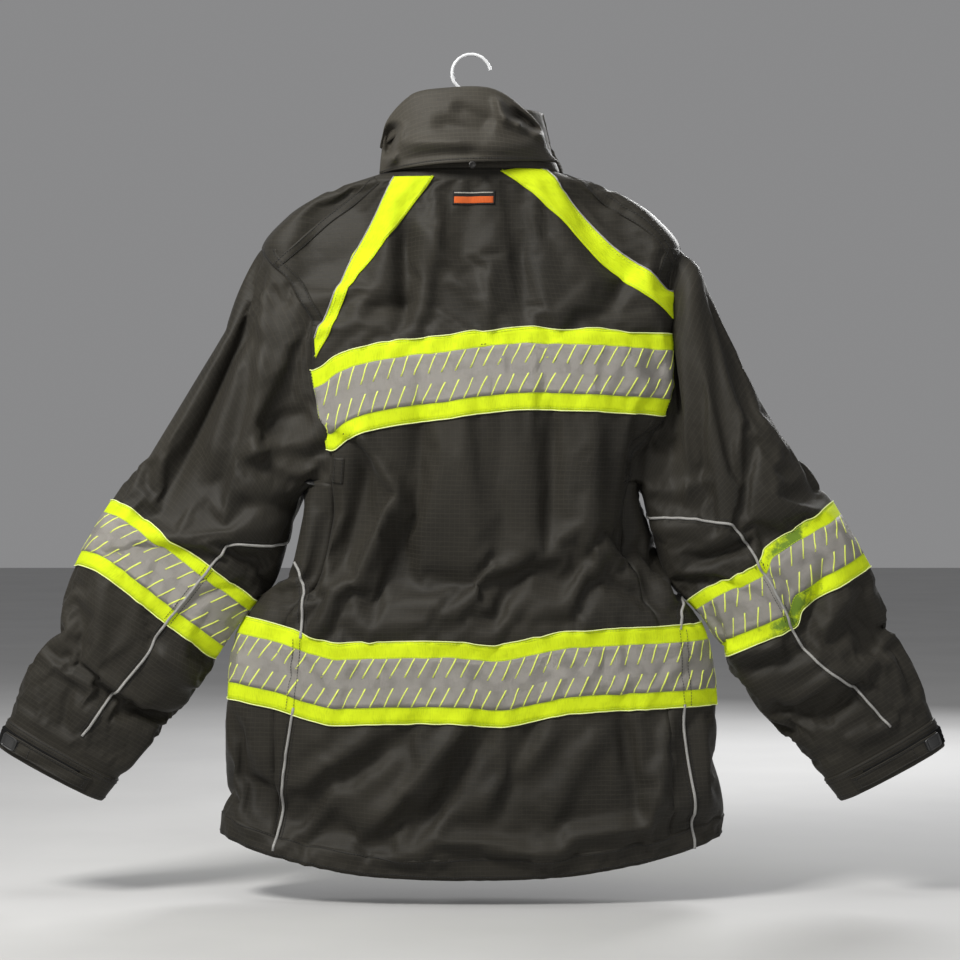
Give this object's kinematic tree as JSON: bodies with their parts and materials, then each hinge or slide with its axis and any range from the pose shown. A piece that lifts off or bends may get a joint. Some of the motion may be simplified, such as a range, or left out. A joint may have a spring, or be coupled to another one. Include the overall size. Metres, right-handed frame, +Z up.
{
  "type": "high-visibility turnout coat",
  "caption": "Long black work coat on a wire hanger, with lime and silver bands, stand collar, wrist tabs, flap pockets and a front zip.",
  "frame": {"origin": "inner top of the hanger's hook, where the rail bears", "axes": "+Z up, +X across the shoulders to the right as seen from behind the coat, the coat's back faces -Y"},
  "size_m": [1.102, 0.1861, 0.9499],
  "materials": {
    "shell_cloth": "black ripstop with a faint grid",
    "collar_cloth": "dark grey ripstop",
    "lining_cloth": "quilted matt polyester",
    "lime_tape": "fluorescent woven tape",
    "silver_tape": "segmented retroreflective film",
    "piping_tape": "reflective piping",
    "loop_pile": "hook-and-loop pile",
    "grip_rubber": "matt moulded",
    "zip_metal": "dark plated",
    "hanger_wire": "white coated wire",
    "badge_weave": "woven badge, blank"
  },
  "bodies": {
    "coat": {"back_panel": "shell_cloth", "front_panel_right": "shell_cloth", "front_panel_left": "shell_cloth", "side_panel_right": "shell_cloth", "side_panel_left": "shell_cloth", "body_lining": "lining_cloth", "collar_stand": "collar_cloth", "hanging_loop": "shell_cloth", "neck_badge": "badge_weave", "chest_band_lime": "lime_tape", "chest_band_silver": "silver_tape", "waist_band_lime": "lime_tape", "waist_band_silver": "silver_tape", "front_chest_band_right": "lime_tape", "front_chest_band_left": "lime_tape", "back_brace_right": "lime_tape", "back_brace_left": "lime_tape", "upper_piping_right": "piping_tape", "upper_piping_left": "piping_tape", "lower_piping_right": "piping_tape", "lower_piping_left": "piping_tape", "zip_tape_right": "shell_cloth", "zip_tape_left": "shell_cloth", "zip_chain": "shell_cloth", "zip_stop": "zip_metal", "wind_flap": "lining_cloth", "pocket_right": "shell_cloth", "pocket_left": "shell_cloth", "wire_hanger": "hanger_wire"},
    "sleeve_right_body": {"sleeve_right": "shell_cloth", "sleeve_lining_right": "lining_cloth", "sleeve_band_lime_right": "lime_tape", "sleeve_band_silver_right": "silver_tape", "cuff_right": "shell_cloth", "elbow_piping_right": "piping_tape", "forearm_piping_right": "piping_tape", "cuff_loop_patch_right": "loop_pile"},
    "sleeve_left_body": {"sleeve_left": "shell_cloth", "sleeve_lining_left": "lining_cloth", "sleeve_band_lime_left": "lime_tape", "sleeve_band_silver_left": "silver_tape", "cuff_left": "shell_cloth", "elbow_piping_left": "piping_tape", "forearm_piping_left": "piping_tape", "cuff_loop_patch_left": "loop_pile"},
    "cuff_tab_right_body": {"cuff_tab_right": "shell_cloth", "cuff_tab_grip_right": "grip_rubber"},
    "cuff_tab_left_body": {"cuff_tab_left": "shell_cloth", "cuff_tab_grip_left": "grip_rubber"},
    "collar_flap_body": {"collar_flap": "collar_cloth"},
    "slider_body": {"zip_slider": "zip_metal"},
    "pull_body": {"zip_pull": "grip_rubber"},
    "pocket_flap_right_body": {"pocket_flap_right": "shell_cloth"},
    "pocket_flap_left_body": {"pocket_flap_left": "shell_cloth"}
  },
  "joints": [
    {"name": "shoulder_right", "type": "hinge", "parent": "coat", "child": "sleeve_right_body", "pos_m": [0.2515, 0, -0.228], "axis": [0, -1, 0], "range_deg": [0, 45]},
    {"name": "shoulder_left", "type": "hinge", "parent": "coat", "child": "sleeve_left_body", "pos_m": [-0.2515, 0, -0.228], "axis": [0, 1, 0], "range_deg": [0, 45]},
    {"name": "cuff_tab_right_peel", "type": "hinge", "parent": "sleeve_right_body", "child": "cuff_tab_right_body", "pos_m": [0.43846, -0.03548, -0.84283], "axis": [0.5777, 0.07, -0.8132], "range_deg": [0, 100]},
    {"name": "cuff_tab_left_peel", "type": "hinge", "parent": "sleeve_left_body", "child": "cuff_tab_left_body", "pos_m": [-0.43846, -0.03548, -0.84283], "axis": [0.5777, -0.07, 0.8132], "range_deg": [0, 100]},
    {"name": "collar_flap_lift", "type": "hinge", "parent": "coat", "child": "collar_flap_body", "pos_m": [0, -0.0745, -0.06], "axis": [-1, 0, 0], "range_deg": [0, 40]},
    {"name": "zip_travel", "type": "slide", "parent": "coat", "child": "slider_body", "axis": [0, 0, -1], "range_m": [0, 0.77]},
    {"name": "zip_pull_swing", "type": "hinge", "parent": "slider_body", "child": "pull_body", "pos_m": [0, 0.0885, -0.0965], "axis": [1, 0, 0], "range_deg": [0, 150]},
    {"name": "pocket_flap_right_lift", "type": "hinge", "parent": "coat", "child": "pocket_flap_right_body", "pos_m": [0.13691, 0.07995, -0.778], "axis": [0.9906, -0.1366, 0], "range_deg": [0, 100]},
    {"name": "pocket_flap_left_lift", "type": "hinge", "parent": "coat", "child": "pocket_flap_left_body", "pos_m": [-0.13691, 0.07995, -0.778], "axis": [0.9906, 0.1366, 0], "range_deg": [0, 100]}
  ]
}
